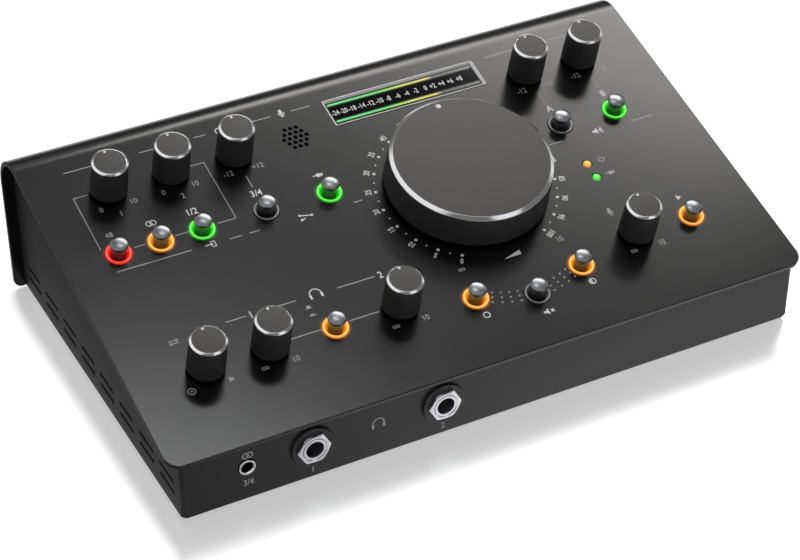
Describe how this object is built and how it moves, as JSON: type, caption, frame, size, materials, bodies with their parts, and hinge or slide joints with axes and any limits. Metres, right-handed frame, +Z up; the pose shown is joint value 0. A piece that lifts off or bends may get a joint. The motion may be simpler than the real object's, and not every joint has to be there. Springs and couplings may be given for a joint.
{
  "type": "studio monitor controller",
  "caption": "Desktop monitor controller: wedge-shaped sheet-metal box with a large volume knob, small trim knobs, lit push buttons, a level meter and jack sockets",
  "frame": {"origin": "middle of the outline on the surface that the feet stand on", "axes": "+X to the user's right, +Y to the rear with the sockets, +Z up"},
  "size_m": [0.2534, 0.1584, 0.0737],
  "materials": {
    "cover_finish": "semi-gloss metallic dark grey",
    "tray_finish": "fine-textured dark grey",
    "board": "solder-resist green, only seen through the side vents",
    "knob_body": "satin black",
    "knob_cap": "grey disc with a polished chamfer",
    "button": "glossy smoked",
    "ring_red": "clear light pipe lit red",
    "ring_amber": "clear light pipe lit amber",
    "ring_green": "clear light pipe lit green",
    "ring_dark": "clear light pipe, unlit",
    "bezel": "polished",
    "window": "smoked, glossy",
    "socket_metal": "nickel plated",
    "socket_plastic": "black moulded"
  },
  "bodies": {
    "housing": {"top_cover": "cover_finish", "chassis_tray": "tray_finish", "control_board": "board", "phantom_power_light_ring": "ring_red", "stereo_light_ring": "ring_amber", "input_1_2_light_ring": "ring_green", "input_3_4_light_ring": "ring_dark", "usb_source_light_ring": "ring_green", "speaker_a_light_ring": "ring_dark", "speaker_b_light_ring": "ring_green", "phones_cue_light_ring": "ring_amber", "mono_light_ring": "ring_amber", "mute_light_ring": "ring_dark", "dim_light_ring": "ring_amber", "talkback_cue_light_ring": "ring_amber", "meter_bezel": "bezel", "meter_window": "window", "power_light": "ring_amber", "usb_light": "ring_green", "headphone_jack_1": "socket_metal", "headphone_jack_2": "socket_metal", "stereo_input_jack": "socket_metal", "combo_input_1": "socket_plastic", "combo_input_2": "socket_plastic", "monitor_output_a": "socket_metal", "monitor_output_b": "socket_metal", "usb_socket": "socket_metal", "power_inlet": "socket_plastic"},
    "input_gain_1_control": {"input_gain_1_knob": "knob_body", "input_gain_1_cap": "knob_cap"},
    "input_gain_2_control": {"input_gain_2_knob": "knob_body", "input_gain_2_cap": "knob_cap"},
    "playback_trim_control": {"playback_trim_knob": "knob_body", "playback_trim_cap": "knob_cap"},
    "monitor_a_trim_control": {"monitor_a_trim_knob": "knob_body", "monitor_a_trim_cap": "knob_cap"},
    "monitor_b_trim_control": {"monitor_b_trim_knob": "knob_body", "monitor_b_trim_cap": "knob_cap"},
    "volume_control": {"volume_knob": "knob_body", "volume_cap": "knob_cap"},
    "direct_monitor_control": {"direct_monitor_knob": "knob_body", "direct_monitor_cap": "knob_cap"},
    "phones_1_control": {"phones_1_knob": "knob_body", "phones_1_cap": "knob_cap"},
    "phones_2_control": {"phones_2_knob": "knob_body", "phones_2_cap": "knob_cap"},
    "talkback_control": {"talkback_knob": "knob_body", "talkback_cap": "knob_cap"},
    "phantom_power_press": {"phantom_power_button": "button"},
    "stereo_press": {"stereo_button": "button"},
    "input_1_2_press": {"input_1_2_button": "button"},
    "input_3_4_press": {"input_3_4_button": "button"},
    "usb_source_press": {"usb_source_button": "button"},
    "speaker_a_press": {"speaker_a_button": "button"},
    "speaker_b_press": {"speaker_b_button": "button"},
    "phones_cue_press": {"phones_cue_button": "button"},
    "mono_press": {"mono_button": "button"},
    "mute_press": {"mute_button": "button"},
    "dim_press": {"dim_button": "button"},
    "talkback_cue_press": {"talkback_cue_button": "button"}
  },
  "joints": [
    {"name": "input_gain_1_turn", "type": "hinge", "parent": "housing", "child": "input_gain_1_control", "pos_m": [-0.09829, 0.03977, 0.05713], "axis": [0, -0.2538, 0.9673], "range_deg": [-150, 150]},
    {"name": "input_gain_2_turn", "type": "hinge", "parent": "housing", "child": "input_gain_2_control", "pos_m": [-0.07409, 0.03977, 0.05713], "axis": [0, -0.2538, 0.9673], "range_deg": [-150, 150]},
    {"name": "playback_trim_turn", "type": "hinge", "parent": "housing", "child": "playback_trim_control", "pos_m": [-0.0489, 0.03977, 0.05713], "axis": [0, -0.2538, 0.9673], "range_deg": [-150, 150]},
    {"name": "monitor_a_trim_turn", "type": "hinge", "parent": "housing", "child": "monitor_a_trim_control", "pos_m": [0.07409, 0.03977, 0.05713], "axis": [0, -0.2538, 0.9673], "range_deg": [-150, 150]},
    {"name": "monitor_b_trim_turn", "type": "hinge", "parent": "housing", "child": "monitor_b_trim_control", "pos_m": [0.0981, 0.03977, 0.05713], "axis": [0, -0.2538, 0.9673], "range_deg": [-150, 150]},
    {"name": "volume_turn", "type": "hinge", "parent": "housing", "child": "volume_control", "pos_m": [0.02543, -0.00216, 0.04613], "axis": [0, -0.2538, 0.9673], "range_deg": [-150, 150]},
    {"name": "direct_monitor_turn", "type": "hinge", "parent": "housing", "child": "direct_monitor_control", "pos_m": [-0.09829, -0.04371, 0.03523], "axis": [0, -0.2538, 0.9673], "range_deg": [-150, 150]},
    {"name": "phones_1_turn", "type": "hinge", "parent": "housing", "child": "phones_1_control", "pos_m": [-0.07409, -0.04371, 0.03523], "axis": [0, -0.2538, 0.9673], "range_deg": [-150, 150]},
    {"name": "phones_2_turn", "type": "hinge", "parent": "housing", "child": "phones_2_control", "pos_m": [-0.02359, -0.04371, 0.03523], "axis": [0, -0.2538, 0.9673], "range_deg": [-150, 150]},
    {"name": "talkback_turn", "type": "hinge", "parent": "housing", "child": "talkback_control", "pos_m": [0.07409, -0.04371, 0.03523], "axis": [0, -0.2538, 0.9673], "range_deg": [-150, 150]},
    {"name": "phantom_power_travel", "type": "slide", "parent": "housing", "child": "phantom_power_press", "axis": [0, 0.2538, -0.9673], "range_m": [0, 0.0012], "stiffness_N_per_m": 400, "springref_m": -0.0004},
    {"name": "stereo_travel", "type": "slide", "parent": "housing", "child": "stereo_press", "axis": [0, 0.2538, -0.9673], "range_m": [0, 0.0012], "stiffness_N_per_m": 400, "springref_m": -0.0004},
    {"name": "input_1_2_travel", "type": "slide", "parent": "housing", "child": "input_1_2_press", "axis": [0, 0.2538, -0.9673], "range_m": [0, 0.0012], "stiffness_N_per_m": 400, "springref_m": -0.0004},
    {"name": "input_3_4_travel", "type": "slide", "parent": "housing", "child": "input_3_4_press", "axis": [0, 0.2538, -0.9673], "range_m": [0, 0.0012], "stiffness_N_per_m": 400, "springref_m": -0.0004},
    {"name": "usb_source_travel", "type": "slide", "parent": "housing", "child": "usb_source_press", "axis": [0, 0.2538, -0.9673], "range_m": [0, 0.0012], "stiffness_N_per_m": 400, "springref_m": -0.0004},
    {"name": "speaker_a_travel", "type": "slide", "parent": "housing", "child": "speaker_a_press", "axis": [0, 0.2538, -0.9673], "range_m": [0, 0.0012], "stiffness_N_per_m": 400, "springref_m": -0.0004},
    {"name": "speaker_b_travel", "type": "slide", "parent": "housing", "child": "speaker_b_press", "axis": [0, 0.2538, -0.9673], "range_m": [0, 0.0012], "stiffness_N_per_m": 400, "springref_m": -0.0004},
    {"name": "phones_cue_travel", "type": "slide", "parent": "housing", "child": "phones_cue_press", "axis": [0, 0.2538, -0.9673], "range_m": [0, 0.0012], "stiffness_N_per_m": 400, "springref_m": -0.0004},
    {"name": "mono_travel", "type": "slide", "parent": "housing", "child": "mono_press", "axis": [0, 0.2538, -0.9673], "range_m": [0, 0.0012], "stiffness_N_per_m": 400, "springref_m": -0.0004},
    {"name": "mute_travel", "type": "slide", "parent": "housing", "child": "mute_press", "axis": [0, 0.2538, -0.9673], "range_m": [0, 0.0012], "stiffness_N_per_m": 400, "springref_m": -0.0004},
    {"name": "dim_travel", "type": "slide", "parent": "housing", "child": "dim_press", "axis": [0, 0.2538, -0.9673], "range_m": [0, 0.0012], "stiffness_N_per_m": 400, "springref_m": -0.0004},
    {"name": "talkback_cue_travel", "type": "slide", "parent": "housing", "child": "talkback_cue_press", "axis": [0, 0.2538, -0.9673], "range_m": [0, 0.0012], "stiffness_N_per_m": 400, "springref_m": -0.0004}
  ]
}
